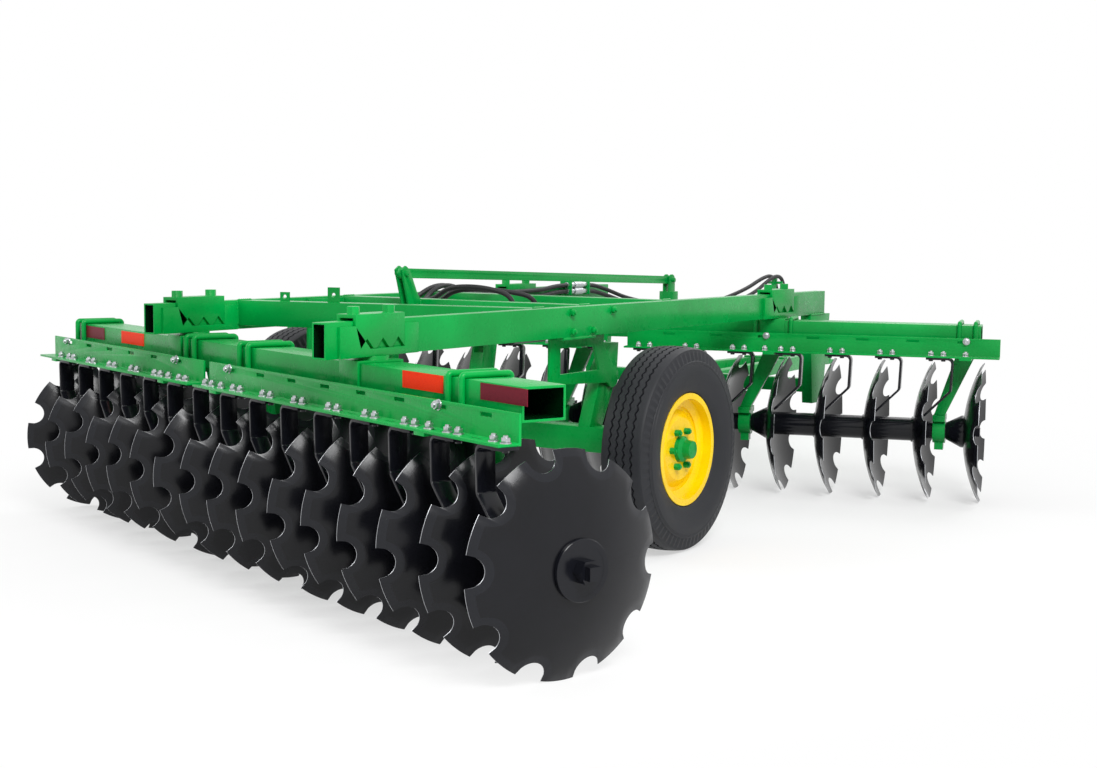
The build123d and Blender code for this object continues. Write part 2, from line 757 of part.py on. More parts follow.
def make_tongue_leg(side):
    """One leg of the tongue, running forward and inwards."""
    rear = lower_beam_y[1]
    outline = [(tongue_x + side * tongue_half_rear, rear), (tongue_x + side * tongue_half_front, tongue_front),
               (tongue_x + side * (tongue_half_front - tongue_wide), tongue_front),
               (tongue_x + side * (tongue_half_rear - tongue_wide), rear)]
    return plan_plate(outline, tongue_top - tongue_tall, tongue_top)


def make_hitch():
    """The hitch clevis: a block between the tongue's legs and two plates with a pin hole."""
    gap_z = tongue_top - tongue_tall / 2
    inner = tongue_half_front - tongue_wide
    hitch = block(tongue_x - tongue_half_front, tongue_x + tongue_half_front, tongue_front, tongue_front + 30,
                  tongue_top - tongue_tall, tongue_top)
    bore_y = tongue_front + 140
    for way in (-1, 1):
        z0 = gap_z + way * hitch_gap / 2
        z1 = z0 + way * hitch_plate
        hitch += block(tongue_x - 45, tongue_x + 45, tongue_front + 30, bore_y, z0, z1)
        hitch += rod_z(45, z0, z1, tongue_x, bore_y)
    hitch -= rod_z(hitch_bore, tongue_top - 200, tongue_top + 200, tongue_x, bore_y)
    return hitch


def make_mast():
    """The mast over the lower beam, forked around the link's front end."""
    y0, y1 = lower_beam_y
    mast = block(link_x - mast_wide / 2, link_x + mast_wide / 2, y0, y1, lower_beam_z[1], mast_top - 60)
    inner = link_thick / 2 + ear_gap
    for side in (-1, 1):
        x0 = link_x + side * inner
        x1 = x0 + side * ear_thickness
        mast += block(x0, x1, y0, y1, mast_top - 60, mast_top)
        mast += rod_x(30, x0, x1, (y0 + y1) / 2, mast_top)
    return mast + rod_x(link_pin_radius, link_x - 36, link_x + 36, (y0 + y1) / 2, mast_top)


def make_link():
    """The leveling link from the rear bracket to the mast."""
    front_y = sum(lower_beam_y) / 2
    length = math.hypot(front_y - rear_pin_y, mast_top - rear_pin_z)
    slope = math.degrees(math.atan2(mast_top - rear_pin_z, front_y - rear_pin_y))
    link = Pos(0, length / 2, 0) * Box(link_thick, length, link_tall)
    for y in (0, length):
        link += rod_x(link_tall / 2 + 4, -link_thick / 2, link_thick / 2, y, 0)
        link -= rod_x(link_pin_radius + 0.3, -link_thick, link_thick, y, 0)
    return Location((link_x, rear_pin_y, rear_pin_z), (slope, 0, 0)) * link


def make_leveling_bracket():
    """Two plates welded behind the middle tube with the link's rear pin between them."""
    face = middle_tube_rear
    inner = link_thick / 2 + ear_gap
    outline = [(face, rail_top - 90), (face, rail_top), (face - 20, rail_top + 20), (rear_pin_y + 26, rear_pin_z + 14),
               (rear_pin_y, rear_pin_z + 30), (rear_pin_y - 26, rear_pin_z + 14), (face - 70, rail_top - 50)]
    bracket = rod_x(link_pin_radius, link_x - 30, link_x + 30, rear_pin_y, rear_pin_z)
    for side in (-1, 1):
        x0 = link_x + side * inner
        bracket += side_plate(outline, x0, x0 + side * ear_thickness)
    return bracket


plain = plain_disc()
for gang in GANGS:
    keep(f"{gang.name}_discs", make_discs(gang, plain))
    keep(f"{gang.name}_spools", make_spools(gang))
    keep(f"{gang.name}_arbor", [make_arbor(gang)])
    keep(f"{gang.name}_gang_beam", [make_beam(gang)])
    keep(f"{gang.name}_hangers", [make_hanger(gang, hanger) for hanger in gang.hangers])
    keep(f"{gang.name}_bearings", [make_housing(gang, hanger) for hanger in gang.hangers])
    keep(f"{gang.name}_u_bolts", [bolt for hanger in gang.hangers for bolt in make_u_bolts(gang, hanger)])
    keep(f"{gang.name}_scrapers", [make_scraper(gang, index) for index in range(1, disc_count)])
    for number, section in enumerate(gang.bars, start=1):
        keep(f"{gang.name}_scraper_bar_{number}", [make_bar(gang, *section)])
    keep(f"{gang.name}_clamps", [piece for side in (-1, 1) for piece in make_clamp(gang, side)])
    keep(f"{gang.name}_straps", [make_strap(gang, side) for side in (-1, 1)])

keep("right_rail", [make_rail(1, rail_rear_right)])
keep("left_rail", [make_rail(-1, rail_rear_left)])
keep("middle_cross_tube", [make_cross_tube(middle_tube_rear, rail_in - hanger_wall)])
keep("forward_cross_tube", [make_cross_tube(forward_tube_rear, rail_in)])
keep("diagonal_cross_tube", [make_diagonal()])
keep("axle_hangers", [make_axle_hanger(side) for side in (-1, 1)])
keep("cylinder_lugs", [make_cylinder_lugs()])
keep("leveling_bracket", [make_leveling_bracket()])
keep("leveling_link", [make_link()])
keep("drop_legs", [make_drop_leg(side) for side in (-1, 1)])
keep("lower_cross_beam", [make_lower_beam()])
keep("tongue_left_leg", [make_tongue_leg(-1)])
keep("tongue_right_leg", [make_tongue_leg(1)])
keep("tongue_mast", [make_mast()])
keep("hitch_clevis", [make_hitch()])

keep("axle_tube", [make_axle()])
keep("axle_spindles", [make_spindle(side) for side in (-1, 1)])
arm_outer = rail_in - hanger_wall - arm_side_gap
keep("axle_arms", [make_arm(-arm_outer, arm_wide - arm_outer), make_arm(arm_outer - arm_wide, arm_outer)])
keep("axle_crank", [make_crank()])
keep("cylinder_barrel", [make_barrel()])
keep("cylinder_rod", [make_rod()])
for side, word in ((-1, "left"), (1, "right")):
    keep(f"{word}_tyre", [make_tyre(side)])
    keep(f"{word}_rim", [make_rim(side)])
    keep(f"{word}_hub", [make_hub(side)])

# The origin moves to the ground under the middle of the whole machine's box.
os.makedirs("parts", exist_ok=True)
boxes = [shape.bounding_box() for shape in nodes.values()]
middle_x = (min(box.min.X for box in boxes) + max(box.max.X for box in boxes)) / 2
middle_y = (min(box.min.Y for box in boxes) + max(box.max.Y for box in boxes)) / 2
print("origin moved by", round(-middle_x, 3), round(-middle_y, 3))
for name, shape in nodes.items():
    shape.label = name
    export_step(shape.moved(Location((-middle_x, -middle_y, 0))), f"parts/{name}.step")
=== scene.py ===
import json
import math
import bmesh
import bpy
from mathutils import Matrix, Vector
from mathutils.bvhtree import BVHTree


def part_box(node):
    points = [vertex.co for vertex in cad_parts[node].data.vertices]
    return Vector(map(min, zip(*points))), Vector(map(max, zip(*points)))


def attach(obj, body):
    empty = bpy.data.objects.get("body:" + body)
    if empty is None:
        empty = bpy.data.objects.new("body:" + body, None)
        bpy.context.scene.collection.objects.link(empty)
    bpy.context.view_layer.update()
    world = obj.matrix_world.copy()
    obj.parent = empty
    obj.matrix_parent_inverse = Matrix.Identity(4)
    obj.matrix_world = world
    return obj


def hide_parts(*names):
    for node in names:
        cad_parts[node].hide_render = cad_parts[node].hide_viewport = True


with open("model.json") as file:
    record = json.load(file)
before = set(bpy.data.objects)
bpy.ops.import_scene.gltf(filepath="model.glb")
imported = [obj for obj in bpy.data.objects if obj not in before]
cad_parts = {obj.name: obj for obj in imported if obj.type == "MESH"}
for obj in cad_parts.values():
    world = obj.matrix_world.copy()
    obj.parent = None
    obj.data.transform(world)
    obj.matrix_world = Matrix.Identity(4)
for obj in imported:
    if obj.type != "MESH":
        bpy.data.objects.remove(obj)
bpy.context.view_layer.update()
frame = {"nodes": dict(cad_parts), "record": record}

nodes = frame["nodes"]

# The sizes below are in metres on the machine's own axes: the middle of the frame is x = 0, +Y is the travel.
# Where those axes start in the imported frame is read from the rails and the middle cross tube.
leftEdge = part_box("left_rail")[0].x
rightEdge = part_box("right_rail")[1].x
middleTubeRear = -0.250
start = Vector(((leftEdge + rightEdge) / 2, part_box("middle_cross_tube")[0].y - middleTubeRear, 0))
machine = Matrix.Translation(start)


# camera: the angles are in degrees, and the focal length and the picture's width are in pixels
cameraView = {"at": (3.933, -5.669, 1.2438), "turn": 32.66, "down": 5.416, "roll": 0.613, "focal": 1623,
              "width": 1097, "sensor": 36}


def makeCamera(view):
    data = bpy.data.cameras.new("photoCamera")
    data.sensor_width = view["sensor"]
    data.lens = view["focal"] / view["width"] * data.sensor_width
    camera = bpy.data.objects.new("photoCamera", data)
    aim = Matrix.Rotation(math.radians(view["turn"]), 4, "Z")
    aim = aim @ Matrix.Rotation(math.radians(90 - view["down"]), 4, "X")
    aim = aim @ Matrix.Rotation(math.radians(view["roll"]), 4, "Z")
    camera.matrix_world = Matrix.Translation(start + Vector(view["at"])) @ aim
    bpy.context.scene.collection.objects.link(camera)
    bpy.context.scene.camera = camera


makeCamera(cameraView)
bpy.context.scene.view_settings.view_transform = "Standard"

# lamps: where each one stands, what it is aimed at, and the side of its square
lamps = {
    "keyLamp": {"at": (5.5, -4.5, 6.0), "target": (0, -0.5, 0.5), "size": 3.0, "watts": 560},
    "fillLamp": {"at": (-6.0, -3.0, 5.0), "target": (0, 0, 0.5), "size": 5.0, "watts": 200},
    "frontLamp": {"at": (1.0, 7.0, 6.0), "target": (0, 0.5, 0.5), "size": 5.0, "watts": 220},
}


def makeLamp(name, look):
    data = bpy.data.lights.new(name, "AREA")
    data.size = look["size"]
    data.energy = look["watts"]
    lamp = bpy.data.objects.new(name, data)
    way = Vector(look["target"]) - Vector(look["at"])
    aim = way.to_track_quat("-Z", "Y").to_matrix().to_4x4()
    lamp.matrix_world = Matrix.Translation(start + Vector(look["at"])) @ aim
    bpy.context.scene.collection.objects.link(lamp)


for name, look in lamps.items():
    makeLamp(name, look)
print("camera and lamps stand")


# shader maths: a Value is one output in a material's nodes
class Value:
    def __init__(self, finish, socket):
        self.finish = finish
        self.socket = socket

    def math(self, operation, other):
        return self.finish.add("ShaderNodeMath", {"operation": operation}, {0: self, 1: other})

    def __add__(self, other):
        return self.math("ADD", other)

    __radd__ = __add__

    def __mul__(self, other):
        return self.math("MULTIPLY", other)

    __rmul__ = __mul__


class Finish:
    def __init__(self, name, **constants):
        self.material = bpy.data.materials.new(name)
        self.material.use_nodes = True
        self.tree = self.material.node_tree
        self.tree.nodes.clear()
        self.output = self.tree.nodes.new("ShaderNodeOutputMaterial")
        self.shader = self.tree.nodes.new("ShaderNodeBsdfPrincipled")
        self.tree.links.new(self.shader.outputs[0], self.output.inputs["Surface"])
        for socket, value in constants.items():
            self.set(socket.replace("_", " "), value)

    def put(self, socket, value):
        if isinstance(value, Value):
            self.tree.links.new(value.socket, socket)
        elif hasattr(value, "__len__") and len(value) == 3 and socket.type == "RGBA":
            socket.default_value = (*value, 1)
        else:
            socket.default_value = value

    def set(self, socket, value):
        self.put(self.shader.inputs[socket], value)

    def add(self, kind, settings=None, values=None, output=0):
        node = self.tree.nodes.new(kind)
        for key, setting in (settings or {}).items():
            setattr(node, key, setting)
        for key, value in (values or {}).items():
            self.put(node.inputs[key], value)
        return Value(self, node.outputs[output])

    def place(self):
        return self.add("ShaderNodeTexCoord", output="Object")

    def noise(self, scale, detail, roughness=0.5):
        return self.add("ShaderNodeTexNoise", None,
                        {"Vector": self.place(), "Scale": scale, "Detail": detail, "Roughness": roughness})

    def range(self, value, low, high, to=(0.0, 1.0)):
        ends = {"Value": value, "From Min": low, "From Max": high, "To Min": to[0], "To Max": to[1]}
        return self.add("ShaderNodeMapRange", {"clamp": True}, ends)

    def mix(self, factor, first, second):
        # the colours of a Mix node are its inputs 6 and 7 and its output 2
        return self.add("ShaderNodeMix", {"data_type": "RGBA"}, {0: factor, 6: first, 7: second}, output=2)

    def bump(self, height, strength, distance):
        return self.add("ShaderNodeBump", None,
                        {"Strength": strength, "Distance": distance, "Height": height})


# finishes: colours are linear, and each surface clouds from its dark colour to its light one
def makeGreenPaint(name, dark, light):
    paint = Finish(name, Coat_Weight=0.08, Coat_Roughness=0.18, Specular_IOR_Level=0.16)
    cloud = paint.noise(scale=2.6, detail=4)
    fine = paint.noise(scale=38, detail=3)
    grain = paint.noise(scale=260, detail=2)
    wave = paint.noise(scale=30, detail=2)
    colour = paint.mix(paint.range(cloud, low=0.35, high=0.7), dark, light)
    dusty = paint.range(fine, low=0.62, high=0.80) * 0.05
    dust = [channel * 1.15 + 0.005 for channel in light]
    paint.set("Base Color", paint.mix(dusty, colour, dust))
    paint.set("Roughness", paint.range(fine, low=0.3, high=0.7, to=(0.24, 0.36)))
    paint.set("Normal", paint.bump(grain + wave * 1.5, strength=0.10, distance=0.0006))
    return paint.material


def makeBlackPaint(name, dark, light, rough, grain):
    paint = Finish(name, Specular_IOR_Level=0.30)
    cloud = paint.noise(scale=3.2, detail=4)
    fine = paint.noise(scale=90, detail=3)
    paint.set("Base Color", paint.mix(paint.range(cloud, low=0.3, high=0.75), dark, light))
    paint.set("Roughness", paint.range(cloud + fine * 0.3, low=0.45, high=0.85, to=rough))
    paint.set("Normal", paint.bump(paint.noise(scale=grain, detail=3), strength=0.07, distance=0.0006))
    return paint.material


def makeSteel(name, colour, rough, grain):
    steel = Finish(name, Metallic=1.0)
    worn = steel.noise(scale=grain, detail=4, roughness=0.6)
    darker = [channel * 0.72 for channel in colour]
    steel.set("Base Color", steel.mix(steel.range(worn, low=0.35, high=0.7), colour, darker))
    steel.set("Roughness", steel.range(worn, low=0.3, high=0.7, to=rough))
    steel.set("Normal", steel.bump(worn, strength=0.12, distance=0.0004))
    return steel.material


def makeRubber(name, dark, light):
    rubber = Finish(name, Specular_IOR_Level=0.35)
    cloud = rubber.noise(scale=6, detail=5, roughness=0.6)
    grain = rubber.noise(scale=420, detail=2)
    rubber.set("Base Color", rubber.mix(rubber.range(cloud, low=0.35, high=0.72), dark, light))
    rubber.set("Roughness", rubber.range(cloud, low=0.3, high=0.7, to=(0.50, 0.66)))
    rubber.set("Normal", rubber.bump(grain, strength=0.25, distance=0.0008))
    return rubber.material


def makeYellowPaint(name, dark, light, scuffed):
    paint = Finish(name, Coat_Weight=0.15, Coat_Roughness=0.12, Specular_IOR_Level=0.2)
    cloud = paint.noise(scale=9, detail=4)
    scuff = paint.noise(scale=75, detail=4, roughness=0.7)
    grain = paint.noise(scale=240, detail=2)
    colour = paint.mix(paint.range(cloud, low=0.35, high=0.7), dark, light)
    paint.set("Base Color", paint.mix(paint.range(scuff, low=0.66, high=0.74) * 0.5, colour, scuffed))
    paint.set("Roughness", paint.range(scuff, low=0.3, high=0.75, to=(0.22, 0.4)))
    paint.set("Normal", paint.bump(grain, strength=0.08, distance=0.0006))
    return paint.material


def makeReflector(name, dark, light):
    film = Finish(name, Coat_Weight=0.05, Coat_Roughness=0.2, Specular_IOR_Level=0.06)
    cells = film.add("ShaderNodeTexVoronoi", {"feature": "DISTANCE_TO_EDGE"},
                     {"Vector": film.place(), "Scale": 260.0})
    film.set("Base Color", film.mix(film.range(cells, low=0.02, high=0.12), dark, light))
    film.set("Roughness", film.range(cells, low=0.0, high=0.2, to=(0.45, 0.28)))
    return film.material


green = makeGreenPaint("greenPaint", dark=(0.0, 0.265, 0.042), light=(0.0, 0.375, 0.064))
# a near-black copy of the green paint, painted on the walls inside tubes as their shade
paintedShadeGreen = makeGreenPaint("paintedShadeGreen", dark=(0.0, 0.008, 0.002), light=(0.0, 0.014, 0.003))
discBlack = makeBlackPaint("discBlack", dark=(0.0030, 0.0032, 0.0045), light=(0.0065, 0.0068, 0.0095),
                           rough=(0.17, 0.27), grain=160)
spoolBlack = makeBlackPaint("spoolBlack", dark=(0.004, 0.0045, 0.007), light=(0.008, 0.0085, 0.012),
                            rough=(0.16, 0.24), grain=120)
cylinderBlack = makeBlackPaint("cylinderBlack", dark=(0.010, 0.010, 0.011), light=(0.018, 0.018, 0.020),
                               rough=(0.26, 0.36), grain=200)
# the bevel band's black is a little lighter and bluer than the blade's: a painted sheen
bevelPaintedSheen = makeBlackPaint("bevelPaintedSheen", dark=(0.006, 0.0065, 0.009), light=(0.011, 0.012, 0.016),
                            rough=(0.18, 0.28), grain=140)
bareEdge = makeSteel("bareEdge", colour=(0.62, 0.63, 0.66), rough=(0.22, 0.34), grain=60)
zinc = makeSteel("zinc", colour=(0.56, 0.58, 0.60), rough=(0.26, 0.42), grain=90)
chrome = makeSteel("chrome", colour=(0.80, 0.81, 0.83), rough=(0.06, 0.12), grain=40)
tyreRubber = makeRubber("tyreRubber", dark=(0.009, 0.010, 0.013), light=(0.018, 0.019, 0.023))
hoseRubber = makeRubber("hoseRubber", dark=(0.012, 0.012, 0.013), light=(0.022, 0.022, 0.024))
yellow = makeYellowPaint("yellowPaint", dark=(0.86, 0.54, 0.0), light=(0.95, 0.65, 0.001),
                         scuffed=(0.30, 0.19, 0.03))
orangeFilm = makeReflector("orangeFilm", dark=(0.90, 0.020, 0.0), light=(1.0, 0.045, 0.0))
redFilm = makeReflector("redFilm", dark=(0.10, 0.006, 0.016), light=(0.21, 0.014, 0.030))
print("finishes made")


# floor and sky: the rays in whiteTo see both as white. Near the machine the floor glows only in part, so that
# the shadow shows. From paleFrom to paleTo, in shares of the oval's half axes, it pales into the backdrop.
whiteTo = ("Is Camera Ray", "Is Glossy Ray", "Is Transmission Ray")
floorLook = {"size": 60.0, "shade": 0.86, "oval": (2.4, 3.4), "paleFrom": 0.75, "paleTo": 1.35, "glow": 0.55}
skyLook = {"light": 0.52, "white": 1.0}


def makeFloor(look):
    floor = Finish("paleFloor", Base_Color=(look["shade"],) * 3, Roughness=0.9, Specular_IOR_Level=0.1)
    seen, glossy, through = [floor.add("ShaderNodeLightPath", output=ray) for ray in whiteTo]
    shown = seen + glossy + through
    across, ahead = look["oval"]
    shrink = (1 / across, 1 / ahead, 1)
    scaled = floor.add("ShaderNodeMapping", None, {"Vector": floor.place(), "Scale": shrink})
    away = floor.add("ShaderNodeVectorMath", {"operation": "LENGTH"}, {0: scaled}, output="Value")
    pale = floor.range(away, look["paleFrom"], look["paleTo"])
    factor = shown * (look["glow"] + pale * (1 - look["glow"]))
    white = floor.add("ShaderNodeEmission", None, {"Color": (1, 1, 1)})
    shaded = Value(floor, floor.shader.outputs[0])
    blend = floor.add("ShaderNodeMixShader", None, {0: factor, 1: shaded, 2: white})
    floor.put(floor.output.inputs["Surface"], blend)
    plane = bmesh.new()
    bmesh.ops.create_grid(plane, x_segments=1, y_segments=1, size=look["size"] / 2)
    mesh = bpy.data.meshes.new("floor")
    plane.to_mesh(mesh)
    plane.free()
    mesh.materials.append(floor.material)
    obj = bpy.data.objects.new("floor", mesh)
    bpy.context.scene.collection.objects.link(obj)


def makeSky(look):
    world = bpy.data.worlds.new("studio")
    bpy.context.scene.world = world
    world.use_nodes = True
    tree = world.node_tree
    back = tree.nodes["Background"]
    back.inputs["Color"].default_value = (1, 1, 1, 1)
    path = tree.nodes.new("ShaderNodeLightPath")
    total = path.outputs[whiteTo[0]]
    for ray in whiteTo[1:]:
        adder = tree.nodes.new("ShaderNodeMath")
        tree.links.new(total, adder.inputs[0])
        tree.links.new(path.outputs[ray], adder.inputs[1])
        total = adder.outputs[0]
    strength = tree.nodes.new("ShaderNodeMapRange")
    tree.links.new(total, strength.inputs["Value"])
    strength.inputs["To Min"].default_value = look["light"]
    strength.inputs["To Max"].default_value = look["white"]
    tree.links.new(strength.outputs[0], back.inputs["Strength"])


makeFloor(floorLook)
makeSky(skyLook)


# meshes: corners closer than this are one
mergeDistance = 0.00001


def newMesh(bm, name, sharpAngle=30):
    mesh = bpy.data.meshes.new(name)
    bm.to_mesh(mesh)
    bm.free()
    imported = mesh.attributes.get("custom_normal")  # a CAD node's own normals don't fit its eased copy
    if imported:
        mesh.attributes.remove(imported)
    for face in mesh.polygons:
        face.use_smooth = True
    mesh.set_sharp_from_angle(angle=math.radians(sharpAngle))
    return mesh


def placed(parts, name, materials, body, slot, replaced=()):
    # parts are (mesh, matrix on the machine's axes, material index or None to keep the mesh's own)
    joined = bmesh.new()
    for mesh, matrix, material in parts:
        first = len(joined.faces)
        joined.from_mesh(mesh)
        joined.verts.ensure_lookup_table()
        joined.faces.ensure_lookup_table()
        faces = joined.faces[first:]
        verts = list({v for face in faces for v in face.verts})
        full = machine @ matrix
        bmesh.ops.transform(joined, matrix=full, verts=verts)
        if full.determinant() < 0:
            bmesh.ops.reverse_faces(joined, faces=faces)
        if material is not None:
            for face in faces:
                face.material_index = material
    mesh = bpy.data.meshes.new(name)
    joined.to_mesh(mesh)
    joined.free()
    for material in materials:
        mesh.materials.append(material)
    obj = bpy.data.objects.new(name, mesh)
    bpy.context.scene.collection.objects.link(obj)
    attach(obj, body)
    if replaced:
        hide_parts(*replaced)
    return obj


def aimed(place, way):
    return Matrix.Translation(place) @ Vector(way).to_track_quat("Z", "Y").to_matrix().to_4x4()


# an extrusion gives its faces in another order each run, so they are put in the order of their corners
def sortFaces(body):
    body.verts.index_update()
    inOrder = sorted(body.faces, key=lambda face: sorted(vert.index for vert in face.verts))
    places = {face: place for place, face in enumerate(inOrder)}
    body.faces.sort(key=lambda face: places[face])


# rows of rings: place(row, station) gives each vertex, and bands the material of the faces before a row
def ringMesh(name, count, rows, place, closed=True, bands=None, sharpAngle=30):
    body = bmesh.new()
    station = body.verts.layers.int.new("station")
    ring = bmesh.ops.create_circle(body, segments=count, radius=1)["verts"]
    for index, vert in enumerate(ring):
        vert[station] = index
        vert.co = place(0, index)
    edges = list(body.edges)
    for row in range(1, rows):
        made = bmesh.ops.extrude_edge_only(body, edges=edges)["geom"]
        edges = [item for item in made if isinstance(item, bmesh.types.BMEdge)]
        for item in made:
            if isinstance(item, bmesh.types.BMVert):
                item.co = place(row, item[station])
            elif isinstance(item, bmesh.types.BMFace):
                item.material_index = bands.get(row, 0) if bands else 0
    if closed:
        bmesh.ops.remove_doubles(body, verts=body.verts, dist=mergeDistance)
    bmesh.ops.recalc_face_normals(body, faces=body.faces)
    sortFaces(body)
    return newMesh(body, name, sharpAngle)


# the two gangs: on a gang's own axes x runs along the axle towards the side that the bowls face, y is forward
# and z is up. lipTop is the top of the scraper bars' lip, and phases are the blades' turns in degrees.
gangs = {
    "rear": {"x": -0.021, "y": -1.314, "turn": -21, "bowl": -1, "lipTop": 0.6755,
             "phases": (15, 16, 25, 28, 26, 25, 13, 13, 15, 32, 18, 12, 17, 33, 9, 35)},
    "front": {"x": -0.089, "y": 1.314, "turn": 15, "bowl": 1, "lipTop": 0.691,
              "phases": (14, 32, 14, 32, 14, 14, 32, 14, 32, 32, 14, 32, 14, 14, 32, 14)},
}


def beamMatrix(gang):
    turn = Matrix.Rotation(math.radians(gang["turn"]), 4, "Z")
    return Matrix.Translation((gang["x"], gang["y"], 0)) @ turn


def gangMatrix(gang):
    return beamMatrix(gang) @ Matrix.Diagonal((gang["bowl"], 1, 1, 1))


# disc blades: stations are degrees from a notch's middle, close together where its side meets the rim, and
# shares are the rings' places between the flat and the rim
disc = {"radius": 0.325, "sphere": 0.700, "thick": 0.006, "flat": 0.075, "edge": 0.002, "bevel": 0.022,
        "notches": 10, "notchRadius": 0.045, "notchAt": 0.320, "hole": 0.026, "pitch": 0.230, "count": 16,
        "height": 0.325, "smoothTo": 22, "shares": (0.0, 0.15, 0.3, 0.45, 0.6, 0.75, 0.88, 1.0),
        "stations": (0, 2, 4, 5.6, 6.9, 7.7, 8.085, 8.1, 9.4, 10.8, 11.95, 14, 16.2)}


def discDepth(radius):
    rimHeight = math.sqrt(disc["sphere"] ** 2 - disc["radius"] ** 2)
    return math.sqrt(disc["sphere"] ** 2 - radius ** 2) - rimHeight


def notchedRadius(angle, inset):
    step = 2 * math.pi / disc["notches"]
    away = abs((angle + step / 2) % step - step / 2)
    outer = disc["radius"] - inset
    reach = disc["notchRadius"] + inset
    sideways = disc["notchAt"] * math.sin(away)
    if sideways >= reach:
        return outer
    near = disc["notchAt"] * math.cos(away) - math.sqrt(reach ** 2 - sideways ** 2)
    return min(outer, near)


def makeDiscMesh():
    step = 360 / disc["notches"]
    angles = []
    for number in range(disc["notches"]):
        angles += [number * step + away for away in disc["stations"]]
        angles += [(number + 1) * step - away for away in reversed(disc["stations"][1:])]
    shares = disc["shares"]
    thick = disc["thick"]
    # each row is its share (None for the hole), the inset of the rim, and the depth behind the hollow face
    rows = [(None, 0, 0)] + [(share, 0, 0) for share in shares]
    edgeRow = len(rows)
    rows += [(1.0, 0, disc["edge"]), (1.0, disc["bevel"], thick)]
    rows += [(share, disc["bevel"], thick) for share in reversed(shares[:-1])]
    rows += [(None, 0, thick), (None, 0, 0)]

    def place(row, station):
        share, inset, back = rows[row]
        angle = math.radians(angles[station])
        rim = notchedRadius(angle, inset)
        radius = disc["hole"] if share is None else disc["flat"] + (rim - disc["flat"]) * share
        depth = discDepth(max(radius, disc["flat"]))
        return (-depth - back, radius * math.sin(angle), radius * math.cos(angle))

    # the faces before the edge row are the bare edge, and those before the next row are the bevel band with
    # its painted sheen
    return ringMesh("discBlade", len(angles), len(rows), place, bands={edgeRow: 1, edgeRow + 1: 2},
                    sharpAngle=disc["smoothTo"])


def bladeAt(index):
    return disc["pitch"] * (index - (disc["count"] - 1) / 2)


discMesh = makeDiscMesh()
for gangName, gang in gangs.items():
    parts = []
    for index, phase in enumerate(gang["phases"]):
        spot = Matrix.Translation((bladeAt(index), 0, disc["height"]))
        turned = spot @ Matrix.Rotation(math.radians(phase), 4, "X")
        parts.append((discMesh, gangMatrix(gang) @ turned, None))
    placed(parts, gangName + "DiscBlades", (discBlack, bareEdge, bevelPaintedSheen), gangName + "_gang",
           "disc_black", (gangName + "_discs",))
print("disc blades made")


# tyres: zigzag grooves on the tread, flutes on the shoulders, two fine lines on the sides. wall, shoulder and
# edge are (side, radius) from the rim outwards, and each groove has its outer and inner side.
tyre = {"around": 144, "centre": (0.935, -0.100, 0.400), "radius": 0.400, "crown": 0.0055,
        "treadHalf": 0.0735, "wave": 0.004, "flute": 0.0035, "fluteDepth": 0.001, "groove": 0.009,
        "grooveSlope": 0.0014, "smoothTo": 24,
        "wall": ((0.0695, 0.2034), (0.0705, 0.2225), (0.0770, 0.2262), (0.0835, 0.2360), (0.0912, 0.2580),
                 (0.0982, 0.2820), (0.1018, 0.3000), (0.1025, 0.3120), (0.1018, 0.3260), (0.1013, 0.3310),
                 (0.1001, 0.3318), (0.1000, 0.3335), (0.1008, 0.3343), (0.1005, 0.3363), (0.0993, 0.3371),
                 (0.0992, 0.3388), (0.0999, 0.3396), (0.0984, 0.3450)),
        "shoulder": ((0.0976, 0.3470), (0.0948, 0.3580), (0.0918, 0.3700), (0.0886, 0.3810),
                     (0.0868, 0.3868)),
        "edge": ((0.0845, 0.3900), (0.0800, 0.3930), (0.0735, 0.3945)),
        "grooves": ((0.0505, 0.0425), (0.0195, 0.0115))}


def makeTyreMesh(look):
    half = [(x, radius, "plain") for x, radius in look["wall"]]
    half += [(x, radius, "flute") for x, radius in look["shoulder"]]
    half += [(x, radius, "plain") for x, radius in look["edge"]]
    slope = look["grooveSlope"]
    deep = look["groove"]
    for outer, inner in look["grooves"]:
        for x, low in ((outer, 0), (outer - slope, deep), (inner + slope, deep), (inner, 0)):
            crown = look["radius"] - look["crown"] * (x / look["treadHalf"]) ** 2
            half.append((x, crown - low, "zigzag"))
    rows = half + [(-x, radius, kind) for x, radius, kind in reversed(half)]
    rows.append(rows[0])
    turn = 2 * math.pi / look["around"]

    def place(row, station):
        x, radius, kind = rows[row]
        odd = station % 2
        if kind == "zigzag":
            x += look["wave"] * (2 * odd - 1)
        if kind == "flute":
            x -= math.copysign(look["flute"] * odd, x)
            radius -= look["fluteDepth"] * odd
        return (x, radius * math.sin(station * turn), radius * math.cos(station * turn))

    return ringMesh("tyre", look["around"], len(rows), place, sharpAngle=look["smoothTo"])


tyreMesh = makeTyreMesh(tyre)
for side, word in ((-1, "left"), (1, "right")):
    x, y, z = tyre["centre"]
    placed([(tyreMesh, Matrix.Translation((side * x, y, z)), 0)], word + "TyreTread", (tyreRubber,),
           word + "_wheel", "tyre_rubber", (word + "_tyre",))
print("tyres made")


# fasteners: a round washer, a hexagon with eased corners and the bolt's end, standing on z = 0
nutShape = {"washerSides": 28, "washerTaper": 0.97, "corner": 0.05, "stubSides": 16, "stubTaper": 0.9}
smallNutSizes = {"width": 0.024, "height": 0.013, "washer": 0.0165, "washerHeight": 0.003, "stub": 0.008,
                 "stubHeight": 0.006}
railNutSizes = {"width": 0.024, "height": 0.014, "washer": 0.018, "washerHeight": 0.003, "stub": 0.008,
                "stubHeight": 0.008}


def addRound(body, sides, radius, taper, low, height):
    made = bmesh.ops.create_cone(body, cap_ends=True, segments=sides, radius1=radius, radius2=radius * taper,
                                 depth=height)
    bmesh.ops.translate(body, verts=made["verts"], vec=(0, 0, low + height / 2))
    return made["verts"]


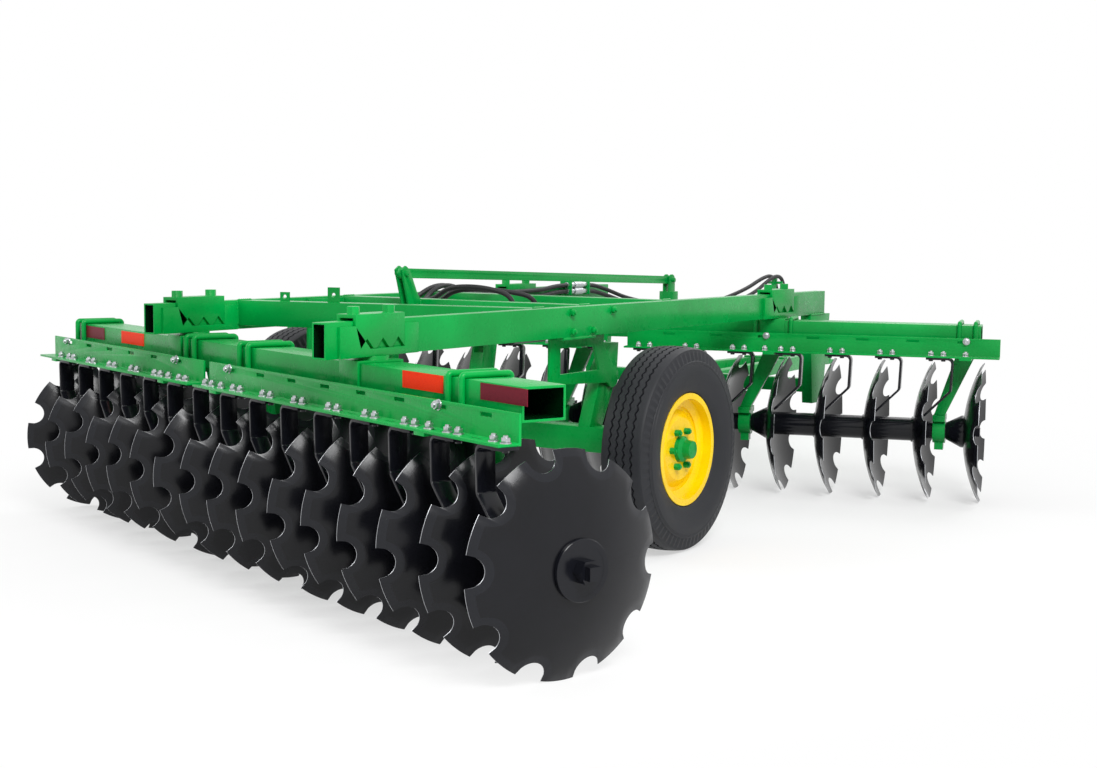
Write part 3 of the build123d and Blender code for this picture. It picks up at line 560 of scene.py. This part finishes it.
def makeNut(name, sizes):
    body = bmesh.new()
    seat = sizes["washerHeight"]
    top = seat + sizes["height"]
    addRound(body, nutShape["washerSides"], sizes["washer"], nutShape["washerTaper"], 0, seat)
    hexagon = addRound(body, 6, sizes["width"] / math.sqrt(3), 1, seat, sizes["height"])
    # the stub comes before the bevel, because a cone made after one has its faces in another order each run
    addRound(body, nutShape["stubSides"], sizes["stub"], nutShape["stubTaper"], top, sizes["stubHeight"])
    edges = [edge for edge in body.edges if edge.verts[0] in hexagon]
    bmesh.ops.bevel(body, geom=edges, offset=sizes["width"] * nutShape["corner"], segments=2, profile=0.5,
                    affect="EDGES", material=-1)
    return newMesh(body, name)


# bolts of the scraper bars: two through the lip past each blade but the last, and at each hanger one through
# the lip and one on the bar's face. hangers are the numbers, from 1, of the blades that stand before them.
barBolts = {"line": -0.193, "past": 0.029, "spread": 0.056, "face": -0.161, "hangerPast": 0.155,
            "legRise": 0.0665, "hangers": {"rear": (2, 8, 10, 15), "front": (2, 7, 11, 15)}}
smallNut = makeNut("smallNut", smallNutSizes)
for gangName, gang in gangs.items():
    parts = []
    lipSpots = []
    for index in range(disc["count"] - 1):
        for side in (-1, 1):
            lipSpots.append(bladeAt(index) + barBolts["past"] + side * barBolts["spread"] / 2)
    hangerSpots = [bladeAt(number - 1) + barBolts["hangerPast"] for number in barBolts["hangers"][gangName]]
    for x in lipSpots + hangerSpots:
        lip = Matrix.Translation((x, barBolts["line"], gang["lipTop"]))
        parts.append((smallNut, gangMatrix(gang) @ lip, 0))
    for x in hangerSpots:
        leg = aimed((x, barBolts["face"], gang["lipTop"] + barBolts["legRise"]), (0, -1, 0))
        parts.append((smallNut, gangMatrix(gang) @ leg, 0))
    placed(parts, gangName + "BarBolts", (zinc,), "frame", "zinc")
print("bar bolts made")


# the rails' faces, and the bolts on their outer faces
rail = {"inner": 0.610, "outer": 0.665, "under": 0.837,
        "bolts": ((-0.417, 0.932), (-0.109, 0.932), (-0.412, 0.859), (-0.261, 0.858))}
railNut = makeNut("railNut", railNutSizes)
parts = []
for side in (-1, 1):
    for y, z in rail["bolts"]:
        parts.append((railNut, aimed((side * rail["outer"], y, z), (side, 0, 0)), 0))
placed(parts, "railBolts", (green,), "frame", "frame_green")
print("rail bolts made")


# hydraulic hoses: from the barrel's ports over the frame to the coupler on the left rail, then down along the
# tongue to the holder near its front
hose = {"radius": 0.011, "sleeve": 0.0145, "wider": 1.3, "sides": 28, "smoothTo": 40}
hoses = {
    "firstHose": {"length": 4.035, "route": (
        (0, 0.190, 0.872), (0, 0.190, 0.955), (-0.110, 0.140, 0.990), (-0.210, 0.100, 0.996),
        (-0.300, 0.100, 0.984), (-0.365, 0.102, 0.940), (-0.440, 0.112, 0.924), (-0.530, 0.160, 0.922),
        (-0.584, 0.240, 0.930), (-0.586, 0.380, 0.982), (-0.586, 0.500, 0.982), (-0.586, 0.620, 0.942),
        (-0.586, 0.780, 0.928), (-0.586, 1.000, 0.936), (-0.586, 1.300, 0.938), (-0.586, 1.440, 0.956),
        (-0.586, 1.560, 0.958), (-0.586, 1.740, 0.958), (-0.584, 1.880, 0.945), (-0.520, 2.150, 0.855),
        (-0.330, 2.560, 0.815), (-0.225, 2.900, 0.900), (-0.215, 3.170, 0.982), (-0.215, 3.290, 0.985),
        (-0.215, 3.345, 0.925), (-0.215, 3.365, 0.855))},
    "secondHose": {"length": 4.062, "route": (
        (0, 0.370, 0.872), (0, 0.370, 0.945), (-0.100, 0.270, 0.975), (-0.210, 0.145, 0.984),
        (-0.300, 0.140, 0.970), (-0.365, 0.142, 0.926), (-0.430, 0.152, 0.912), (-0.505, 0.205, 0.912),
        (-0.554, 0.280, 0.930), (-0.556, 0.380, 0.982), (-0.556, 0.500, 0.982), (-0.556, 0.620, 0.936),
        (-0.558, 0.780, 0.908), (-0.580, 1.000, 0.905), (-0.586, 1.300, 0.906), (-0.586, 1.440, 0.924),
        (-0.586, 1.560, 0.926), (-0.586, 1.740, 0.926), (-0.584, 1.880, 0.912), (-0.500, 2.150, 0.825),
        (-0.300, 2.560, 0.785), (-0.175, 2.900, 0.870), (-0.165, 3.170, 0.982), (-0.165, 3.290, 0.985),
        (-0.165, 3.345, 0.925), (-0.165, 3.365, 0.855))},
}

# fittings: the port's collar and sleeve by their heights, the coupler by its places along the rail at one
# point of the route, and the tip's sleeve and plug by (y, z) at their two ends
fittings = {"port": (0.842, 0.868, 0.905), "couplerPoint": 16, "couplerSleeve": (1.540, 1.760),
            "couplerCollar": (1.610, 1.690), "tipSleeve": ((3.350, 0.905), (3.3665, 0.850)),
            "tipPlug": ((3.3645, 0.857), (3.372, 0.830))}


def makeHose(name, route, length):
    curve = bpy.data.curves.new(name, "CURVE")
    curve.dimensions = "3D"
    curve.bevel_depth = hose["radius"]
    curve.bevel_resolution = 5
    curve.use_fill_caps = True
    spline = curve.splines.new("NURBS")
    spline.points.add(len(route) - 1)
    for point, place in zip(spline.points, route):
        point.co = (*(start + Vector(place)), 1)
    spline.order_u = 3
    spline.use_endpoint_u = True
    spline.resolution_u = 10
    curve.materials.append(hoseRubber)
    obj = bpy.data.objects.new(name, curve)
    bpy.context.scene.collection.objects.link(obj)
    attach(obj, "frame")
    start + Vector(route[0])


def makeSleeve(name, radius):
    # a sleeve is one unit long, until along() stretches it
    body = bmesh.new()
    bmesh.ops.create_cone(body, cap_ends=True, segments=hose["sides"], radius1=radius, radius2=radius,
                          depth=1)
    return newMesh(body, name, hose["smoothTo"])


def along(first, last):
    way = Vector(last) - Vector(first)
    middle = (Vector(first) + Vector(last)) / 2
    return aimed(middle, way) @ Matrix.Diagonal((1, 1, way.length, 1))


narrow = makeSleeve("sleeve", hose["sleeve"])
wide = makeSleeve("wideSleeve", hose["sleeve"] * hose["wider"])
for name, look in hoses.items():
    route = look["route"]
    x, y, z = route[0]
    low, middle, high = fittings["port"]
    placed([(wide, along((x, y, low), (x, y, middle)), 0), (narrow, along((x, y, middle), (x, y, high)), 0)],
           name + "Port", (zinc,), "cylinder_barrel", "zinc")
    x, y, z = route[fittings["couplerPoint"]]
    sleeve, collar = [[(x, y, z) for y in fittings[key]] for key in ("couplerSleeve", "couplerCollar")]
    placed([(narrow, along(*sleeve), 0), (wide, along(*collar), 0)], name + "Coupler", (zinc,), "frame",
           "zinc")
    x, y, z = route[-1]
    sleeve, plug = [[(x, y, z) for y, z in fittings[key]] for key in ("tipSleeve", "tipPlug")]
    tip = placed([(narrow, along(*sleeve), 0), (wide, along(*plug), 0)], name + "Tip", (zinc,), "frame",
                 "zinc")
    makeHose(name, route, look["length"])
print("hoses made")


# plates of the frame that stand free: the hoses' coupler plate with its bulkheads, their holder on the
# tongue, flanges under the rails at the axle hangers, and lifting tabs on the diagonal cross tube
plate = {"ease": 0.0015, "smoothTo": 32}
flange = {"inner": 0.598, "outer": rail["outer"], "rear": -0.465, "front": -0.230, "low": 0.827,
          "high": 0.8375}
holderBar = {"radius": 0.008, "ends": ((-0.240, 3.265, 0.945), (-0.140, 3.265, 0.945))}
diagonalTube = {"middle": -0.7045, "slope": 0.2336, "turn": 13.15, "seat": 0.951}
liftingTab = {"hole": 0.009, "thick": 0.008, "steps": 32, "least": 0.001,
              "places": ((-0.432, 0.040, 0.037), (-0.222, 0.050, 0.060))}


def makePlate(name, outline, thick):
    body = bmesh.new()
    ring = bmesh.ops.create_circle(body, cap_ends=True, segments=len(outline), radius=1)["verts"]
    for vert, (u, v) in zip(ring, outline):
        vert.co = (u, v, 0)
    grown = bmesh.ops.extrude_face_region(body, geom=list(body.faces))["geom"]
    raised = [item for item in grown if isinstance(item, bmesh.types.BMVert)]
    bmesh.ops.translate(body, verts=raised, vec=(0, 0, thick))
    bmesh.ops.recalc_face_normals(body, faces=body.faces)
    bmesh.ops.bevel(body, geom=list(body.edges), offset=plate["ease"], segments=2, profile=0.5,
                    affect="EDGES", material=-1)
    return newMesh(body, name, plate["smoothTo"])


def makeBox(name, low, high):
    outline = ((low[0], low[1]), (high[0], low[1]), (high[0], high[1]), (low[0], high[1]))
    return (makePlate(name, outline, high[2] - low[2]), Matrix.Translation((0, 0, low[2])), 0)


def makeSidePlate(name, outline, low, high):
    # the outline is (y, z), and the plate reaches from low to high along x
    turned = Matrix(((0, 0, 1, low), (1, 0, 0, 0), (0, 1, 0, 0), (0, 0, 0, 1)))
    return (makePlate(name, outline, high - low), turned, 0)


def makeTab(name, width, height, look):
    # a rectangle with a round hole: the stations include its corners
    corner = math.atan2(height, width)
    corners = [corner, math.pi - corner, math.pi + corner, 2 * math.pi - corner]
    angles = sorted([step * 2 * math.pi / look["steps"] for step in range(look["steps"])] + corners)
    rows = (("hole", 0.5), ("rim", 0.5), ("rim", -0.5), ("hole", -0.5), ("hole", 0.5))

    def place(row, station):
        kind, share = rows[row]
        angle = angles[station]
        across = width / 2 / max(abs(math.cos(angle)), look["least"])
        upwards = height / 2 / max(abs(math.sin(angle)), look["least"])
        radius = look["hole"] if kind == "hole" else min(across, upwards)
        return (radius * math.cos(angle), share * look["thick"], radius * math.sin(angle))

    return ringMesh(name, len(angles), len(rows), place)


loosePlates = [
    makeSidePlate("couplerPlate", ((1.520, 0.900), (1.780, 0.900), (1.780, 0.984), (1.520, 0.984)),
                  -rail["inner"], -0.602),
    makeBox("rearBulkhead", (-0.604, 1.556, 0.906), (-0.562, 1.564, 0.978)),
    makeBox("frontBulkhead", (-0.604, 1.736, 0.906), (-0.562, 1.744, 0.978)),
    makeBox("holderFoot", (-0.317, 3.130, 0.500), (-0.063, 3.190, 0.510)),
    makeSidePlate("holderPost", ((3.130, 0.508), (3.190, 0.508), (3.295, 0.975), (3.235, 0.975)),
                  -0.195, -0.185),
    (makeSleeve("holderBar", holderBar["radius"]), along(*holderBar["ends"]), 0),
    makeBox("rightFlange", (flange["inner"], flange["rear"], flange["low"]),
            (flange["outer"], flange["front"], flange["high"])),
    makeBox("leftFlange", (-flange["outer"], flange["rear"], flange["low"]),
            (-flange["inner"], flange["front"], flange["high"])),
]
for x, width, height in liftingTab["places"]:
    y = diagonalTube["middle"] + diagonalTube["slope"] * x
    spot = Matrix.Translation((x, y, diagonalTube["seat"] + height / 2))
    spot = spot @ Matrix.Rotation(math.radians(diagonalTube["turn"]), 4, "Z")
    loosePlates.append((makeTab("liftingTab", width, height, liftingTab), spot, 0))
placed(loosePlates, "loosePlates", (green,), "frame", "frame_green")
print("free plates made")


# the wide washer at one end of each gang's axle, against the blade's back
endWasher = {"radius": 0.088, "inner": 0.071, "thick": 0.0125, "ease": 0.0015, "sides": 72}


def makeEndWasher(look):
    inner = look["inner"]
    radius = look["radius"]
    back = -look["thick"]
    ease = look["ease"]
    rows = ((inner, 0), (radius, 0), (radius, back + ease), (radius - ease, back), (inner, back), (inner, 0))
    turn = 2 * math.pi / look["sides"]

    def place(row, station):
        reach, depth = rows[row]
        return (depth, reach * math.sin(station * turn), reach * math.cos(station * turn))

    return ringMesh("endWasher", look["sides"], len(rows), place)


washerMesh = makeEndWasher(endWasher)
for gangName, gang in gangs.items():
    bladeBack = bladeAt(0) - discDepth(disc["flat"]) - disc["thick"]
    spot = Matrix.Translation((bladeBack, 0, disc["height"]))
    placed([(washerMesh, gangMatrix(gang) @ spot, 0)], gangName + "EndWasher", (spoolBlack,),
           gangName + "_gang", "disc_black")
print("end washers made")


# reflector plates on the rear beam's rear face: each plate is from, to, low and high along the beam
reflectors = {
    "orangeFilm": {"film": orangeFilm, "slot": "reflector_orange",
                   "plates": ((1.034, 1.262, 0.764, 0.816), (-1.209, -0.974, 0.760, 0.810))},
    "redFilm": {"film": redFilm, "slot": "reflector_red",
                "plates": ((1.458, 1.687, 0.765, 0.813), (-1.635, -1.400, 0.760, 0.810))},
}
reflectorPlate = {"face": -0.095, "thick": 0.002}


def makeCube(name):
    body = bmesh.new()
    bmesh.ops.create_cube(body, size=1)
    return newMesh(body, name)


cube = makeCube("cube")
thick = reflectorPlate["thick"]
for name, look in reflectors.items():
    parts = []
    for low, high, bottom, top in look["plates"]:
        middle = ((low + high) / 2, reflectorPlate["face"] - thick / 2, (bottom + top) / 2)
        size = (high - low, thick, top - bottom)
        spot = Matrix.Translation(middle) @ Matrix.Diagonal((*size, 1))
        parts.append((cube, beamMatrix(gangs["rear"]) @ spot, 0))
    placed(parts, name + "Plates", (look["film"],), "frame", look["slot"])
print("reflectors made")


# weld beads: scalloped seams where frame pieces meet. In welded, a pair of numbers is a span's two ends.
welds = {"radius": 0.0045, "step": 0.0036, "around": 8, "ripple": 0.16, "scallop": 2.1, "taper": 0.15,
         "fewestRows": 4, "smoothTo": 80, "underTop": 0.001}
welded = {"tubeHeights": (0.853, 0.953), "forwardTube": (0.400, 0.480), "middleTube": (-0.250, -0.172),
          "diagonalHalf": 0.041, "diagonalRise": 0.1425, "beam": (1.925, 1.985),
          "beamHeights": (0.440, 0.507), "dropLeg": (1.845, 2.016), "hanger": (-0.475, -0.205),
          "mast": (-0.240, -0.160), "bracketMiddle": -0.200, "bracketHalf": 0.021, "bracketRear": -0.251,
          "bracketHeights": (0.864, 0.950)}


def makeWeld(name, first, last):
    way = Vector(last) - Vector(first)
    rows = max(welds["fewestRows"], int(way.length / welds["step"]))
    seam = aimed(first, way)

    def place(row, station):
        angle = station * 2 * math.pi / welds["around"]
        taper = welds["taper"] if row in (0, rows - 1) else 1
        radius = welds["radius"] * taper * (1 + welds["ripple"] * math.cos(row * welds["scallop"]))
        reached = way.length * row / (rows - 1)
        return seam @ Vector((radius * math.sin(angle), radius * math.cos(angle), reached))

    return ringMesh(name, welds["around"], rows, place, closed=False, sharpAngle=welds["smoothTo"])


def tubeSeams(face, span, heights):
    # a tube's end on an upright face: up its rear side, along its top and up its front side
    rear, front = span
    low, top = heights
    under = top - welds["underTop"]
    return [((face, rear, low), (face, rear, under)), ((face, rear, top), (face, front, top)),
            ((face, front, low), (face, front, under))]


def lengthSeam(x, span, z):
    return ((x, span[0], z), (x, span[1], z))


def ringSeams(xSpan, ySpan, z):
    (x0, x1), (y0, y1) = xSpan, ySpan
    corners = [(x0, y0, z), (x1, y0, z), (x1, y1, z), (x0, y1, z)]
    return [(corners[i], corners[(i + 1) % 4]) for i in range(4)]


seams = []
for side in (-1, 1):
    face = side * rail["inner"]
    hangerFace = side * flange["inner"]
    diagonal = diagonalTube["middle"] + side * welded["diagonalRise"]
    diagonalSpan = (diagonal - welded["diagonalHalf"], diagonal + welded["diagonalHalf"])
    seams += tubeSeams(face, welded["forwardTube"], welded["tubeHeights"])
    # the middle tube has no bead on its front side
    seams += tubeSeams(hangerFace, welded["middleTube"], welded["tubeHeights"])[:2]
    seams += tubeSeams(face, diagonalSpan, welded["tubeHeights"])
    seams += tubeSeams(face, welded["beam"], welded["beamHeights"])
    seams += [lengthSeam(x, welded["dropLeg"], rail["under"]) for x in (face, side * rail["outer"])]
    seams += [lengthSeam(hangerFace, welded["hanger"], rail["under"])]
    ear = welded["bracketMiddle"] + side * welded["bracketHalf"]
    seams += [tuple((ear, welded["bracketRear"], z) for z in welded["bracketHeights"])]
seams += ringSeams(welded["mast"], welded["beam"], welded["beamHeights"][1])
parts = [(makeWeld("weld", *seam), Matrix.Identity(4), 0) for seam in seams]
placed(parts, "frameWelds", (green,), "frame", "frame_green")
print("welds made")


# Each CAD node but the discs and tyres is replaced by a merged copy with smooth round faces. Names that end
# in a word of plates get eased edges. Inside tubes, walls that face each other closer than hollow get a
# painted shade.
dress = {"ease": 0.0016, "easeFrom": 50, "flatTo": 0.5, "smoothTo": 32, "hollow": 0.16,
         "tubes": ("rail", "cross_tube", "gang_beam"),
         "plates": ("hangers", "clamps", "straps", "lugs", "legs", "leg", "beam", "mast", "link", "bracket",
                    "bar_1", "bar_2", "scrapers", "arms", "crank", "clevis", "rail", "tube")}
finishOf = {"frame_green": green, "disc_black": spoolBlack, "rim_yellow": yellow, "rod_chrome": chrome,
            "cylinder_black": cylinderBlack}
bodyOf = {node: body for body, names in frame["record"]["behaviour"]["bodies"].items() for node in names}
slotOf = {part["node"]: part["material_slot"] for part in frame["record"]["subparts"]}
rebuilt = ("rear_discs", "front_discs", "left_tyre", "right_tyre")


def dressedCopy(node, eased, hollow):
    body = bmesh.new()
    body.from_mesh(node.data)
    bmesh.ops.transform(body, matrix=node.matrix_world, verts=body.verts)
    bmesh.ops.remove_doubles(body, verts=body.verts, dist=mergeDistance)
    if eased:
        flatTo = math.radians(dress["flatTo"])
        bmesh.ops.dissolve_limit(body, angle_limit=flatTo, verts=body.verts, edges=body.edges)
        sharp = [edge for edge in body.edges
                 if len(edge.link_faces) == 2 and edge.calc_face_angle(0) > math.radians(dress["easeFrom"])]
        bmesh.ops.bevel(body, geom=sharp, offset=dress["ease"], segments=2, profile=0.5, affect="EDGES",
                        clamp_overlap=True, material=-1)
    for face in body.faces:
        face.material_index = 0
    if hollow:
        # the walls that face each other inside a tube get a near-black green: painted shade
        walls = BVHTree.FromBMesh(body)
        for face in body.faces:
            outside = face.calc_center_median() + face.normal * dress["ease"]
            if walls.ray_cast(outside, face.normal, dress["hollow"])[0] is not None:
                face.material_index = 1
    return newMesh(body, "dressedCopy", dress["smoothTo"])


for name, node in nodes.items():
    if name in rebuilt:
        continue
    hollow = name.endswith(dress["tubes"])
    mesh = dressedCopy(node, name.endswith(dress["plates"]), hollow)
    mesh.materials.append(finishOf[slotOf[name]])
    if hollow:
        # the second finish, for the tube's inner walls, is painted shade
        mesh.materials.append(paintedShadeGreen)
    obj = bpy.data.objects.new(name + "_dressed", mesh)
    bpy.context.scene.collection.objects.link(obj)
    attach(obj, bodyOf[name])
    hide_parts(name)
print("CAD nodes dressed")
